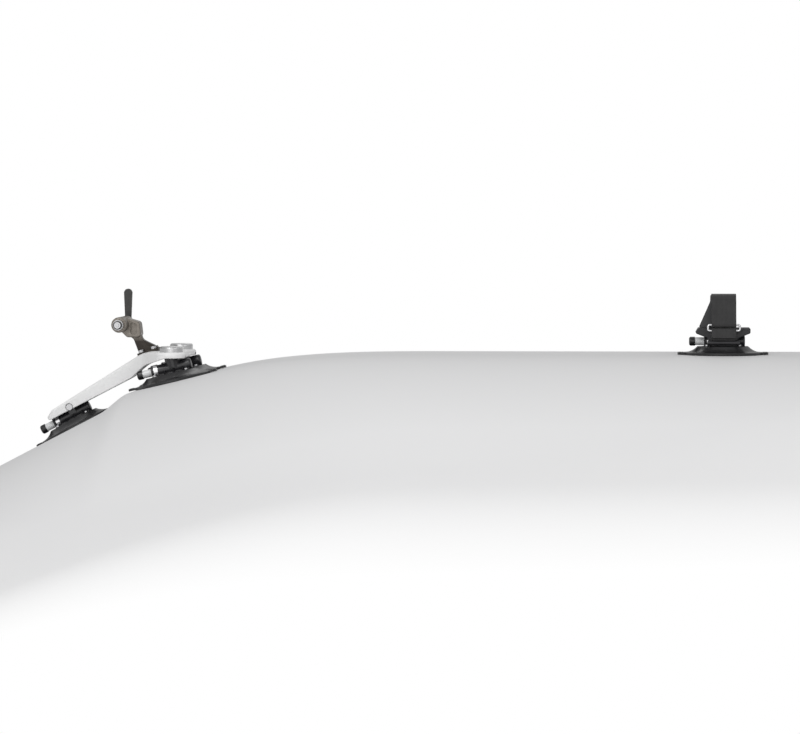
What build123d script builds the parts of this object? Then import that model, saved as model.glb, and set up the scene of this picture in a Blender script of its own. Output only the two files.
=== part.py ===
from build123d import *
import math
import os

# Bicycle carrier for a car roof, held down by hand-pumped vacuum pads.
# The front unit clamps the fork, the rear unit straps down the rear wheel.
# Millimetres, +Z up, +X towards the rear of the car, +Y to its far side.
# The origin is the centre of the sealing face under the wheel unit's pad.

# Rubber pad: a dished disc with a flat sealing lip and two pull tabs.
PAD_RADIUS = 60.0
LIP_OUTER = 58.4
LIP_INNER = 50.0
RIM_THICKNESS = 4.2
BEAD = 0.9
CAVITY_HEIGHT = 3.0
CAVITY_RUN = 7.0
COLLAR_RADIUS = 39.5
COLLAR_HEIGHT = 13.2
FLARE_SAG = 2.2
PORT_RADIUS = 2.5
TAB_REACH = 70.0
TAB_WIDTH = 24.0
TAB_ROOT = 50.0
TAB_LIFT = 0.8
TAB_THICKNESS = 3.2
TAB_CORNER = 8.0
RIDGES = 3
RIDGE_INSET = 8.0
RIDGE_STEP = 2.4
RIDGE_WIDTH = 1.2
RIDGE_HALF = 8.0
RIDGE_HEIGHT = 0.7

# Hub: the moulded disc on the pad, with the pump barrel lying on it along X.
SEAT_HEIGHT = 7.0
HUB_RADIUS = 32.0
HUB_THICKNESS = 7.0
HUB_CHAMFER = 1.5
HUB_GAP = 0.3
PUMP_HEIGHT = 21.0
BARREL_RADIUS = 9.5
BARREL_FRONT = -25.0
BARREL_REAR = 34.0
BARREL_ROUND = 3.0
BORE_RADIUS = 7.2
BORE_END = 27.0
SADDLE_HALF = 8.0
SADDLE_END = 4.0
BAND_THICKNESS = 0.9
BAND_LENGTH = 6.4
BAND_FIT = 0.05
BAND_GAP = 0.2
GUSSET_HALF = 1.2
GUSSET_FOOT = 23.0
GUSSET_PLACES = (-8.0, 6.0, 20.0)
CHANNEL_HALF = 1.5
CHANNEL_DEPTH = 2.0
CHANNEL_REACH = 22.0

# Pump: the plunger slides along X inside the barrel and springs back out.
STROKE = 14.0
GLAND_RADIUS = 10.4
GLAND_GAP = 0.4
GLAND_LIP = 4.0
GLAND_SLEEVE = 4.0
GLAND_FLUTE = 1.0
GLAND_FLUTES = 8
ROD_RADIUS = 6.0
ROD_FIT = 0.08
PISTON_RADIUS = 6.9
PISTON_LENGTH = 8.0
PISTON_GAP = 0.3
SEAL_WIDTH = 2.4
SEAL_DEPTH = 1.4
SEAL_FIT = 0.05
SPIGOT_RADIUS = 3.4
SPIGOT_LENGTH = 4.0
SPIGOT_FIT = 0.1
BUTTON_RADIUS = 7.0
BUTTON_LENGTH = 9.0
BUTTON_DOME = 3.0
SPRING_WIRE = 0.6
SPRING_RADIUS = 4.8
SPRING_TURNS = 4
SPRING_GAP = 0.15

# Four screws hold each hub down on its pad.
SCREW_CIRCLE = 28.0
SCREW_ANGLE = 28.0
SCREW_HEAD_RADIUS = 2.9
SCREW_HEAD_HEIGHT = 2.0
SCREW_RADIUS = 1.5
SCREW_BITE = 2.6
SCREW_FIT = 0.1

# Nose pin: the front hub's lug turns on a cross pin through the nose's walls.
LUG_X = 6.0
PIN_HEIGHT = 33.0
PIN_RADIUS = 3.0
PIN_FIT = 0.05
PIN_HEAD_RADIUS = 5.5
PIN_HEAD_HEIGHT = 2.0
PITCH_DOWN = 12.0
PITCH_UP = 3.0
HEAD_CLEAR = 1.0
LUG_RADIUS = 5.6
LUG_GAP = 0.3

# Ball joints: a tower on each rear hub holds a liner and a ball stud.
BALL_HEIGHT = 38.0
BALL_RADIUS = 5.5
BALL_FIT = 0.05
LINER_THICKNESS = 2.4
LINER_TOP = 3.4
TOWER_RADIUS = 11.3
RING_HEIGHT = 4.4
RING_CHAMFER = 0.8
NECK_RADIUS = 3.0
STUD_GRIP = 5.0
STUD_FIT = 0.05
CAP_RADIUS = 18.0
CAP_HEIGHT = 9.0
CAP_ROUND = 3.5
CAP_SPIGOT_OUTER = 15.0
CAP_SPIGOT_INNER = 13.2
CAP_RECESS = 1.8
CAP_FIT = 0.1

# Places of the pads on the roof, and the slope of the roof below each one.
FRONT_PAD_X = -1005.0
FRONT_PAD_Z = -115.0
FRONT_TILT = 27.5
REAR_PAD_X = -846.0
REAR_PAD_Z = -40.5
REAR_PAD_Y = 70.0
REAR_TILT = 13.5

# Frame: a white hollow moulding, arrow-shaped from above, arched from the side.
WALL = 3.8
WEB = 4.0
SPINE_TILT = 32.0
BROW_REACH = 28.0
BROW_DROP = 5.0
CHIN_REACH = 31.0
CHIN_DROP = 21.0
TIP_DROP = 18.0
NOSE_REACH = 37.0
NOSE_HALF = 17.0
WING_RISE = 7.0
WING_SKIRT = 2.0
BOSS_RADIUS = 25.0
FLAT_REACH = 8.0
SHOULDER_REACH = 46.0
SHOULDER_DROP = 15.0
ROOT_REACH = 68.0
ROOT_DROP = 35.0
ROOT_HALF = 26.6
ROOT_X = 52.5
NOSE_ROUND = 16.0
ROOT_ROUND = 30.0
WING_AHEAD = 14.8
WING_REAR_ROUND = 22.0
SCALLOP = 6.0
SCALLOP_HALF = 32.0
SCALLOP_ROUND = 18.0
TOP_SHARE = 0.3
CROWN_RADIUS = 60.0
NOSE_TOP_RADIUS = 9.0
CHIN_RADIUS = 4.0
UNDER_RADIUS = 30.0
EDGE_ROUND = 4.0
CORE_HALF = 25.0
CORE_DEPTH = 22.0
CORE_FRONT = 64.0
CORE_REAR = 19.0
RIB_HALF = 1.3
RIB_START = 42.0
CROSS_RIBS = 3
CROSS_STEP = 21.0
WING_RIB = 19.0
PIN_SEAT = 16.8
PIN_SEAT_GAP = 0.4
NOSE_NOTCH = 2.0
WING_NOTCH = 4.0

# Fork bracket: a boot-shaped casting leaning forward from the spine.
AXLE_AHEAD = 84.0
AXLE_ABOVE = 48.0
FORK_WIDTH = 100.0
HEAD_RADIUS = 12.0
STEP_LENGTH = 2.5
STEP_RADIUS = 9.5
STUB_RADIUS = 4.4
STUB_LENGTH = 4.5
BODY_HALF = 18.0
SHIN_HALF = 9.0
HEEL_REACH = 28.0
HEEL_RISE = 4.0
HEEL_ROUND = 6.0
SHIN_TOP = 20.0
SHIN_FRONT = 18.0
SHIN_REAR = 31.0
SHIN_DROP = 23.0
SHIN_ROUND = 9.0
TOE_FRONT = 30.0
TOE_REAR = 58.0
TOE_DROP = 36.0
POCKET_DEPTH = 5.0
POCKET_WALL = 5.0
SEAT_AHEAD = 42.0
SEAT_DROP = 4.0
SEAT_TILT = 17.0
FOOT_LENGTH = 34.0
FOOT_HALF = 22.0
FOOT_THICKNESS = 4.5
FOOT_CORNER = 5.0
CAST_ROUND = 1.6
HEAD_CHAMFER = 1.0
FOOT_GAP = 0.2
BOLT_ALONG = 10.0
BOLT_ACROSS = 15.5
BOLT_RADIUS = 2.5
BOLT_HEAD_RADIUS = 4.4
BOLT_HEAD_HEIGHT = 4.0
BOLT_BITE = 9.0
BOLT_FIT = 0.1
SOCKET_RADIUS = 2.3
SOCKET_DEPTH = 2.5

# Quick-release skewer through the bracket, with a nut and a cam lever.
DROPOUT = 7.0
ROD = 2.45
ROD_BORE = 2.55
NUT_RADIUS = 8.0
NUT_FLANGE = 3.0
NUT_LENGTH = 11.0
NUT_BODY = 6.0
NUT_FIT = 0.05
ROD_PROUD = 2.0
CUP_RADIUS = 8.5
CUP_LENGTH = 5.0
CAM_RADIUS = 6.5
CAM_THROW = 1.2
CAM_CLEAR = 0.3
CAM_HALF = 5.0
CAM_PIN = 3.5
CAM_PIN_FIT = 0.05
SLOT_HALF = 2.9
LEVER_LENGTH = 52.0
LEVER_TIP = 6.5
LEVER_THICKNESS = 5.0
LEVER_OUT = 2.0

# Wheel cradle over the pump barrel, with a groove for the tyre.
CRADLE_HALF = 24.0
CRADLE_TOP = 42.0
CRADLE_FRONT = 38.0
CRADLE_REAR = 42.0
CRADLE_FOOT = 20.5
CRADLE_WAIST = 25.0
CRADLE_LIP = 8.0
LIP_LEAN = 5.0
CRADLE_GAP = 0.3
WAIST_ROUND = 10.0
LIP_ROUND = 2.2
CRADLE_ROUND = 1.5
GROOVE_RADIUS = 14.5
GROOVE_HEIGHT = 36.0
RUBBER = 2.2
RUBBER_END = 3.0
RUBBER_DROP = 0.6
RIBS = 5
RIB_HEIGHT = 0.8
RIB_WIDTH = 5.0
RIB_SPACING = 13.0
CRADLE_BOLT_X = 13.0
CRADLE_BOLT_Y = 18.2
CRADLE_BOLT_RADIUS = 2.0
CRADLE_BOLT_HEAD = 3.6
CRADLE_BOLT_HEIGHT = 3.6
CRADLE_BOLT_SEAT = 23.0
CRADLE_BOLT_BITE = 4.5
WELL_RADIUS = 4.0

# Ears at the cradle's sides carry round bars for the two straps.
EAR_HALF = 24.5
EAR_BOTTOM = 16.0
EAR_TOP = 22.5
EAR_ROOT = 1.6
BAR_RADIUS = 3.0
BAR_Y = 33.0
BAR_Z = 19.2

# Straps: a short one holds the steel ring, the long one goes over the rim.
STRAP_WIDTH = 38.0
STRAP_X = 1.0
STRAP_THICKNESS = 1.9
STRAP_PLAY = 0.15
RING_WIRE = 1.75
RING_HEIGHT_IN = 9.0
RING_LENGTH = 49.0
RING_CORNER = 3.0
RING_Y = 28.6
RING_Z = 42.5
WHEEL_HALF = 13.0
RIM_TOP = 90.0
GUARD_THICKNESS = 2.2
GUARD_FRONT = 37.0
GUARD_REAR = 20.0
GUARD_TOP_FRONT = 19.5
GUARD_TOP = 82.0
GUARD_FOOT = 42.6
GUARD_SPREAD = 21.0
GUARD_ROUND = 12.0
LAYER_GAP = 0.3
LOOSE_TOP = 84.0
LOOSE_BEND = 61.0
LOOSE_ROUND = 8.0
TUCK_RISE = 2.0
TUCK_ROUND = 3.5
FAR_KNEE = 43.0
FAR_CLEAR = 1.3
FAR_ROUND = 20.0
SEWN_KNEE = 26.0
SEWN_TOP = 42.0
SEWN_ROUND = 6.0

# One overrun makes every cut reach past the surfaces that it opens.
OVER = 1.0
# Two edges count as one place when this many decimals agree.
PLACE_DIGITS = 2

os.makedirs("parts", exist_ok=True)


def keep(name, shape):
    export_step(Part(children=list(shape.solids())), "parts/" + name + ".step")


def upright(radius, bottom, top, x=0, y=0):
    foot = (Align.CENTER, Align.CENTER, Align.MIN)
    return Pos(x, y, bottom) * Cylinder(radius, top - bottom, align=foot)


def lengthwise(radius, start, end, y=0, z=0):
    foot = (Align.CENTER, Align.CENTER, Align.MIN)
    return Pos(start, y, z) * Rot(0, 90, 0) * Cylinder(radius, end - start, align=foot)


def crosswise(radius, start, end, x=0, z=0):
    foot = (Align.CENTER, Align.CENTER, Align.MIN)
    return Pos(x, start, z) * Rot(-90, 0, 0) * Cylinder(radius, end - start, align=foot)


def block(x, y, z):
    size = (x[1] - x[0], y[1] - y[0], z[1] - z[0])
    return Pos(x[0], y[0], z[0]) * Box(*size, align=(Align.MIN, Align.MIN, Align.MIN))


def side_plate(face, half):
    # A face drawn as (x, z), thickened evenly to both sides of the XZ plane.
    return extrude(Plane.XZ * face, half, both=True)


def eased(shape, axis, radius):
    # The outlines of a plate's two broad faces, rounded.
    faces = shape.faces().sort_by(axis)
    return fillet(faces[0].edges() + faces[-1].edges(), radius)


def rounded(points, rounds):
    # A closed outline whose corners are rounded one by one, zero leaves one sharp.
    face = make_face(Polyline(*points, close=True))
    for point, radius in zip(points, rounds):
        if radius > 0:
            corner = face.vertices().sort_by_distance((point[0], point[1], 0))[0]
            face = fillet(corner, radius)
    return face


def band(points, rounds, width, thickness, x):
    # A flat strip of webbing along a path drawn as (y, z), running across X.
    path = FilletPolyline(*[(x, y, z) for y, z in points], radius=rounds)
    section = Plane(origin=path @ 0, x_dir=(1, 0, 0), z_dir=path % 0) * Rectangle(width, thickness)
    return sweep(section, path)


def placed(pad_x, pad_y, pad_z, tilt):
    return Location((pad_x, pad_y, pad_z), (0, -tilt, 0))


def carried(pad_x, pad_z, tilt, x, z):
    # Where a point of a tilted mount comes to in the side view.
    angle = math.radians(tilt)
    across = pad_x + x * math.cos(angle) - z * math.sin(angle)
    return across, pad_z + x * math.sin(angle) + z * math.cos(angle)


# Vacuum mount, drawn on the sealing face with its button towards the front.


def screw_places():
    angles = (SCREW_ANGLE, 180 - SCREW_ANGLE, 180 + SCREW_ANGLE, 360 - SCREW_ANGLE)
    turns = [math.radians(angle) for angle in angles]
    return [(SCREW_CIRCLE * math.cos(turn), SCREW_CIRCLE * math.sin(turn)) for turn in turns]


def pad():
    recess = HUB_RADIUS + HUB_GAP
    rim_top = (PAD_RADIUS - BEAD, RIM_THICKNESS)
    outline = [
        Line((0, CAVITY_HEIGHT), (LIP_INNER - CAVITY_RUN, CAVITY_HEIGHT)),
        Line((LIP_INNER - CAVITY_RUN, CAVITY_HEIGHT), (LIP_INNER, 0)),
        Line((LIP_INNER, 0), (LIP_OUTER, 0)),
        Line((LIP_OUTER, 0), (PAD_RADIUS, BEAD)),
        Line((PAD_RADIUS, BEAD), (PAD_RADIUS, RIM_THICKNESS - BEAD)),
        Line((PAD_RADIUS, RIM_THICKNESS - BEAD), rim_top),
        SagittaArc(rim_top, (COLLAR_RADIUS, COLLAR_HEIGHT), FLARE_SAG),
        Line((COLLAR_RADIUS, COLLAR_HEIGHT), (recess, COLLAR_HEIGHT)),
        Line((recess, COLLAR_HEIGHT), (recess, SEAT_HEIGHT)),
        Line((recess, SEAT_HEIGHT), (0, SEAT_HEIGHT)),
        Line((0, SEAT_HEIGHT), (0, CAVITY_HEIGHT)),
    ]
    disc = revolve(Plane.XZ * make_face(outline), Axis.Z)
    tab = extrude(RectangleRounded(2 * TAB_REACH, TAB_WIDTH, TAB_CORNER), TAB_THICKNESS)
    tab = Pos(0, 0, TAB_LIFT) * tab
    tab -= upright(TAB_ROOT, 0, RIM_THICKNESS)
    top = TAB_LIFT + TAB_THICKNESS
    for index in range(RIDGES):
        start = TAB_REACH - RIDGE_INSET + index * RIDGE_STEP
        along = (start, start + RIDGE_WIDTH)
        ridge = block(along, (-RIDGE_HALF, RIDGE_HALF), (top - OVER, top + RIDGE_HEIGHT))
        tab += ridge + Rot(0, 0, 180) * ridge
    body = disc + tab
    body -= lengthwise(BARREL_RADIUS + HUB_GAP, 0, COLLAR_RADIUS + OVER, z=PUMP_HEIGHT)
    body -= upright(PORT_RADIUS, 0, SEAT_HEIGHT + OVER)
    for x, y in screw_places():
        body -= upright(SCREW_RADIUS + SCREW_FIT, SEAT_HEIGHT - SCREW_BITE, SEAT_HEIGHT + OVER, x, y)
    return body


def band_end():
    # The disc and the saddle stand back from the steel band round the barrel's mouth.
    return BARREL_FRONT + BAND_LENGTH + 2 * BAND_GAP


def mouth_band():
    start = BARREL_FRONT + BAND_GAP
    outer = BARREL_RADIUS + BAND_FIT + BAND_THICKNESS
    ring = lengthwise(outer, start, start + BAND_LENGTH, z=PUMP_HEIGHT)
    inner = BARREL_RADIUS + BAND_FIT
    return ring - lengthwise(inner, start - OVER, start + BAND_LENGTH + OVER, z=PUMP_HEIGHT)


def hub(crown=None, cavity=None):
    # The crown carries the frame, and the cavity takes its pin or ball.
    top = SEAT_HEIGHT + HUB_THICKNESS
    disc = upright(HUB_RADIUS, SEAT_HEIGHT, top)
    disc = chamfer(disc.edges().group_by(Axis.Z)[-1], HUB_CHAMFER)
    disc -= lengthwise(GLAND_RADIUS + GLAND_GAP, -HUB_RADIUS - OVER, band_end(), z=PUMP_HEIGHT)
    barrel = lengthwise(BARREL_RADIUS, BARREL_FRONT, BARREL_REAR, z=PUMP_HEIGHT)
    barrel = fillet(barrel.edges().group_by(Axis.X)[-1], BARREL_ROUND)
    length = (band_end(), BARREL_REAR - SADDLE_END)
    saddle = block(length, (-SADDLE_HALF, SADDLE_HALF), (top - OVER, PUMP_HEIGHT))
    body = disc + barrel + saddle
    if crown is not None:
        body += crown
    body -= lengthwise(BORE_RADIUS, BARREL_FRONT - OVER, BORE_END, z=PUMP_HEIGHT)
    channel = (-CHANNEL_HALF, CHANNEL_HALF)
    body -= block((0, CHANNEL_REACH), channel, (SEAT_HEIGHT - OVER, SEAT_HEIGHT + CHANNEL_DEPTH))
    body -= upright(CHANNEL_HALF, SEAT_HEIGHT, PUMP_HEIGHT, CHANNEL_REACH)
    for x, y in screw_places():
        body -= upright(SCREW_RADIUS + SCREW_FIT, SEAT_HEIGHT - OVER, top + OVER, x, y)
    if cavity is not None:
        body -= cavity
    return body


def gussets():
    # Thin webs that brace the barrel down to the disc.
    foot = SEAT_HEIGHT + HUB_THICKNESS - OVER
    side = BARREL_RADIUS - OVER
    points = [(-GUSSET_FOOT, foot), (GUSSET_FOOT, foot), (side, PUMP_HEIGHT), (-side, PUMP_HEIGHT)]
    web = extrude(Plane.YZ * make_face(Polyline(*points, close=True)), GUSSET_HALF, both=True)
    made = Part()
    for x in GUSSET_PLACES:
        made += Pos(x, 0, 0) * web
    return made


def gland():
    front = BARREL_FRONT - GLAND_LIP
    cap = lengthwise(GLAND_RADIUS, front, BARREL_FRONT, z=PUMP_HEIGHT)
    cap = chamfer(cap.edges().group_by(Axis.X)[0], GLAND_FLUTE)
    for turn in range(GLAND_FLUTES):
        angle = 2 * math.pi * turn / GLAND_FLUTES
        y = GLAND_RADIUS * math.cos(angle)
        z = PUMP_HEIGHT + GLAND_RADIUS * math.sin(angle)
        cap -= lengthwise(GLAND_FLUTE, front - OVER, BARREL_FRONT + OVER, y, z)
    end = BARREL_FRONT + GLAND_SLEEVE
    sleeve = lengthwise(BORE_RADIUS - PIN_FIT, BARREL_FRONT, end, z=PUMP_HEIGHT)
    inside = lengthwise(ROD_RADIUS + ROD_FIT, front - OVER, end + OVER, z=PUMP_HEIGHT)
    return cap + sleeve - inside


def piston_front():
    return BARREL_FRONT + GLAND_SLEEVE + PISTON_GAP


def button_back():
    return BARREL_FRONT - GLAND_LIP - STROKE - SPRING_GAP


def seal_start():
    return piston_front() + (PISTON_LENGTH - SEAL_WIDTH) / 2


def plunger():
    rod = lengthwise(ROD_RADIUS, button_back(), piston_front() + OVER, z=PUMP_HEIGHT)
    head = lengthwise(PISTON_RADIUS, piston_front(), piston_front() + PISTON_LENGTH, z=PUMP_HEIGHT)
    groove = lengthwise(PISTON_RADIUS + OVER, seal_start(), seal_start() + SEAL_WIDTH, z=PUMP_HEIGHT)
    floor = PISTON_RADIUS - SEAL_DEPTH
    groove -= lengthwise(floor, seal_start() - OVER, seal_start() + SEAL_WIDTH + OVER, z=PUMP_HEIGHT)
    spigot = lengthwise(SPIGOT_RADIUS, button_back() - SPIGOT_LENGTH, button_back() + OVER, z=PUMP_HEIGHT)
    return rod + head - groove + spigot


def seal():
    start = seal_start()
    ring = lengthwise(BORE_RADIUS - SEAL_FIT, start, start + SEAL_WIDTH, z=PUMP_HEIGHT)
    inner = PISTON_RADIUS - SEAL_DEPTH + SEAL_FIT
    return ring - lengthwise(inner, start - OVER, start + SEAL_WIDTH + OVER, z=PUMP_HEIGHT)


def button():
    back = button_back()
    knob = lengthwise(BUTTON_RADIUS, back - BUTTON_LENGTH, back, z=PUMP_HEIGHT)
    knob = fillet(knob.edges().group_by(Axis.X)[0], BUTTON_DOME)
    deep = SPIGOT_LENGTH + SPIGOT_FIT
    return knob - lengthwise(SPIGOT_RADIUS + SPIGOT_FIT, back - deep, back + OVER, z=PUMP_HEIGHT)


def spring():
    start = piston_front() + PISTON_LENGTH + SPRING_WIRE + SPRING_GAP
    length = BORE_END - SPRING_WIRE - SPRING_GAP - start
    path = Helix(length / SPRING_TURNS, length, SPRING_RADIUS, direction=(1, 0, 0))
    path = Pos(start, 0, PUMP_HEIGHT) * path
    start_plane = Plane(origin=path @ 0, x_dir=(1, 0, 0), z_dir=path % 0)
    return sweep(start_plane * Rectangle(2 * SPRING_WIRE, 2 * SPRING_WIRE), path, is_frenet=True)


def screws():
    top = SEAT_HEIGHT + HUB_THICKNESS
    made = Part()
    for x, y in screw_places():
        shank = upright(SCREW_RADIUS, SEAT_HEIGHT - SCREW_BITE + SCREW_FIT, top, x, y)
        made += shank + upright(SCREW_HEAD_RADIUS, top, top + SCREW_HEAD_HEIGHT, x, y)
    return made


def pin_lug():
    half = nose_inner() - LUG_GAP
    lug = crosswise(LUG_RADIUS, -half, half, LUG_X, PIN_HEIGHT)
    return lug + block((LUG_X - LUG_RADIUS, LUG_X + LUG_RADIUS), (-half, half), (PUMP_HEIGHT, PIN_HEIGHT))


def front_hub():
    half = nose_inner()
    return hub(pin_lug() + gussets(), crosswise(PIN_RADIUS + PIN_FIT, -half, half, LUG_X, PIN_HEIGHT))


def ball_cavity():
    return Pos(LUG_X, 0, BALL_HEIGHT) * Sphere(BALL_RADIUS + BALL_FIT + LINER_THICKNESS + BALL_FIT)


def rear_hub():
    return hub(upright(TOWER_RADIUS, PUMP_HEIGHT, BALL_HEIGHT, LUG_X) + gussets(), ball_cavity())


def ball_ring():
    ring = upright(TOWER_RADIUS, BALL_HEIGHT, BALL_HEIGHT + RING_HEIGHT, LUG_X)
    ring = chamfer(ring.edges().group_by(Axis.Z)[-1], RING_CHAMFER)
    return ring - ball_cavity()


def liner():
    inner = BALL_RADIUS + BALL_FIT
    shell = Sphere(inner + LINER_THICKNESS) - Sphere(inner)
    shell -= upright(PAD_RADIUS, LINER_TOP, PAD_RADIUS)
    return Pos(LUG_X, 0, BALL_HEIGHT) * shell


def write_mount(name, location, body):
    keep(name + "_pad", location * pad())
    keep(name + "_hub", location * body)
    keep(name + "_band", location * mouth_band())
    keep(name + "_gland", location * gland())
    keep(name + "_plunger", location * plunger())
    keep(name + "_button", location * button())
    keep(name + "_seal", location * seal())
    keep(name + "_spring", location * spring())
    keep(name + "_screws", location * screws())


# Frame, from the pin in the nose to the ball joints under the wings.


def nose_inner():
    return NOSE_HALF - WALL


def nose_pin_place():
    return carried(FRONT_PAD_X, FRONT_PAD_Z, FRONT_TILT, LUG_X, PIN_HEIGHT)


def ball_place():
    return carried(REAR_PAD_X, REAR_PAD_Z, REAR_TILT, LUG_X, BALL_HEIGHT)


def wing_top():
    return ball_place()[1] + WING_RISE


def crown_place(inset):
    # Where the sloping top of the spine meets the level top of the wings.
    pin_x, pin_z = nose_pin_place()
    slope = math.tan(math.radians(SPINE_TILT))
    brow_z = pin_z - BROW_DROP - inset / math.cos(math.radians(SPINE_TILT))
    return pin_x - BROW_REACH + (wing_top() - inset - brow_z) / slope, brow_z


def side_outline():
    pin_x, pin_z = nose_pin_place()
    ball_x, ball_z = ball_place()
    crown_x, brow_z = crown_place(0)
    rear = ball_x + BOSS_RADIUS
    skirt = ball_z - WING_SKIRT
    points = [
        (pin_x - CHIN_REACH, pin_z - CHIN_DROP),
        (pin_x - NOSE_REACH, pin_z - TIP_DROP),
        (pin_x - BROW_REACH, brow_z),
        (crown_x, wing_top()),
        (rear, wing_top()),
        (rear, skirt),
        (ball_x - FLAT_REACH, skirt),
        (ball_x - SHOULDER_REACH, ball_z - SHOULDER_DROP),
        (ball_x - ROOT_REACH, ball_z - ROOT_DROP),
    ]
    rounds = (CHIN_RADIUS, 0, NOSE_TOP_RADIUS, CROWN_RADIUS, 0, 0, UNDER_RADIUS, UNDER_RADIUS, UNDER_RADIUS)
    return rounded(points, rounds)


def hollow_outline():
    pin_x, pin_z = nose_pin_place()
    crown_x, brow_z = crown_place(WEB)
    brow_x = pin_x - BROW_REACH
    slope = math.tan(math.radians(SPINE_TILT))
    tip = brow_x - NOSE_REACH
    rear = ball_place()[0] + BOSS_RADIUS
    top = wing_top() - WEB
    low = pin_z - CHIN_DROP - NOSE_REACH
    points = [(tip, low), (tip, brow_z - NOSE_REACH * slope), (crown_x, top), (rear, top), (rear, low)]
    return rounded(points, (0, 0, CROWN_RADIUS - WEB, 0, 0))


def plan_outline(inset):
    # The top view: a tapering spine that spreads into a wing to each boss.
    pin_x = nose_pin_place()[0]
    ball_x = ball_place()[0]
    half = REAR_PAD_Y + BOSS_RADIUS
    near_side = [
        (pin_x - NOSE_REACH, -NOSE_HALF),
        (ball_x - ROOT_X, -ROOT_HALF),
        (ball_x - WING_AHEAD, -half),
        (ball_x + BOSS_RADIUS, -half),
        (ball_x + BOSS_RADIUS - SCALLOP, -SCALLOP_HALF),
    ]
    rounds = (NOSE_ROUND, ROOT_ROUND, BOSS_RADIUS, WING_REAR_ROUND, SCALLOP_ROUND)
    far_side = [(x, -y) for x, y in reversed(near_side)]
    plan = rounded(near_side + far_side, rounds + tuple(reversed(rounds)))
    return offset(plan, -inset) if inset > 0 else plan


def top_rim(body):
    # The edges round the frame's top, between its upward faces and its sides.
    found = {}
    for face in body.faces():
        if face.normal_at().Z > TOP_SHARE:
            for edge in face.edges():
                centre = edge.center()
                place = tuple(round(value, PLACE_DIGITS) for value in (centre.X, centre.Y, centre.Z))
                found.setdefault(place, []).append(edge)
    return [edges[0] for edges in found.values() if len(edges) == 1]


def seat_plane():
    # The flat seat for the fork bracket's foot, leaning with the spine.
    ball_x = ball_place()[0]
    return Location((ball_x - SEAT_AHEAD, 0, wing_top() - SEAT_DROP), (0, -SEAT_TILT, 0))


def frame_ribs():
    # Webs in the hollow: one along the spine, some across it, and two along the wings.
    pin_x, pin_z = nose_pin_place()
    ball_x = ball_place()[0]
    height = (pin_z, wing_top())
    start = pin_x + RIB_START
    ribs = block((start, ball_x), (-RIB_HALF, RIB_HALF), height)
    for index in range(CROSS_RIBS):
        x = start + index * CROSS_STEP
        ribs += block((x - RIB_HALF, x + RIB_HALF), (-ROOT_HALF, ROOT_HALF), height)
    for x in (ball_x - WING_RIB, ball_x + WING_RIB):
        ribs += block((x - RIB_HALF, x + RIB_HALF), (-REAR_PAD_Y, REAR_PAD_Y), height)
    return ribs


def head_reliefs():
    # Room for the front mount's screw heads wherever the mount turns on its pin.
    pin_x, pin_z = nose_pin_place()
    top = SEAT_HEIGHT + HUB_THICKNESS
    room = Part()
    for x, y in screw_places():
        head_top = top + SCREW_HEAD_HEIGHT + HEAD_CLEAR
        room += upright(SCREW_HEAD_RADIUS + HEAD_CLEAR, top, head_top, x, y)
    room = placed(FRONT_PAD_X, 0, FRONT_PAD_Z, FRONT_TILT) * room
    turns = [Pos(pin_x, 0, pin_z) * Rot(0, turn, 0) for turn in (-PITCH_DOWN, 0, PITCH_UP)]
    return [turn * Pos(-pin_x, 0, -pin_z) * room for turn in turns]


def frame():
    pin_x, pin_z = nose_pin_place()
    ball_x, ball_z = ball_place()
    low = pin_z - CHIN_DROP - OVER
    high = wing_top() + OVER
    column = Pos(0, 0, low) * extrude(plan_outline(0), high - low)
    outer = column & side_plate(side_outline(), REAR_PAD_Y + BOSS_RADIUS + OVER)
    outer = fillet(top_rim(outer), EDGE_ROUND)
    inside = Pos(0, 0, low) * extrude(plan_outline(WALL), high - low)
    inside = inside & side_plate(hollow_outline(), REAR_PAD_Y + BOSS_RADIUS + OVER)
    core_x = (ball_x - CORE_FRONT, ball_x - CORE_REAR)
    inside -= block(core_x, (-CORE_HALF, CORE_HALF), (wing_top() - CORE_DEPTH, wing_top()))
    inside -= frame_ribs()
    body = outer - inside
    foot = (FOOT_LENGTH / 2 + FOOT_GAP, FOOT_HALF + FOOT_GAP)
    body -= seat_plane() * block((-foot[0], foot[0]), (-foot[1], foot[1]), (0, CORE_DEPTH))
    for x in (-BOLT_ALONG, BOLT_ALONG):
        for y in (-BOLT_ACROSS, BOLT_ACROSS):
            body -= seat_plane() * upright(BOLT_RADIUS + BOLT_FIT, -BOLT_BITE, OVER, x, y)
    body -= crosswise(PIN_RADIUS, -NOSE_HALF * 2, NOSE_HALF * 2, pin_x, pin_z)
    head = PIN_HEAD_RADIUS + PIN_SEAT_GAP
    body -= crosswise(head, PIN_SEAT, NOSE_HALF * 2, pin_x, pin_z)
    body -= crosswise(head, -NOSE_HALF * 2, -PIN_SEAT, pin_x, pin_z)
    notch = lengthwise(GLAND_RADIUS + NOSE_NOTCH, -TAB_REACH, band_end(), z=PUMP_HEIGHT)
    body -= placed(FRONT_PAD_X, 0, FRONT_PAD_Z, FRONT_TILT) * notch
    for relief in head_reliefs():
        body -= relief
    arch = lengthwise(BARREL_RADIUS + WING_NOTCH, -TAB_REACH, TAB_REACH, z=PUMP_HEIGHT)
    for side in (-1, 1):
        body -= placed(REAR_PAD_X, side * REAR_PAD_Y, REAR_PAD_Z, REAR_TILT) * arch
        hole = upright(CAP_SPIGOT_OUTER + CAP_FIT, ball_z, wing_top() + OVER, ball_x, side * REAR_PAD_Y)
        body -= hole
    return body


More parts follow.
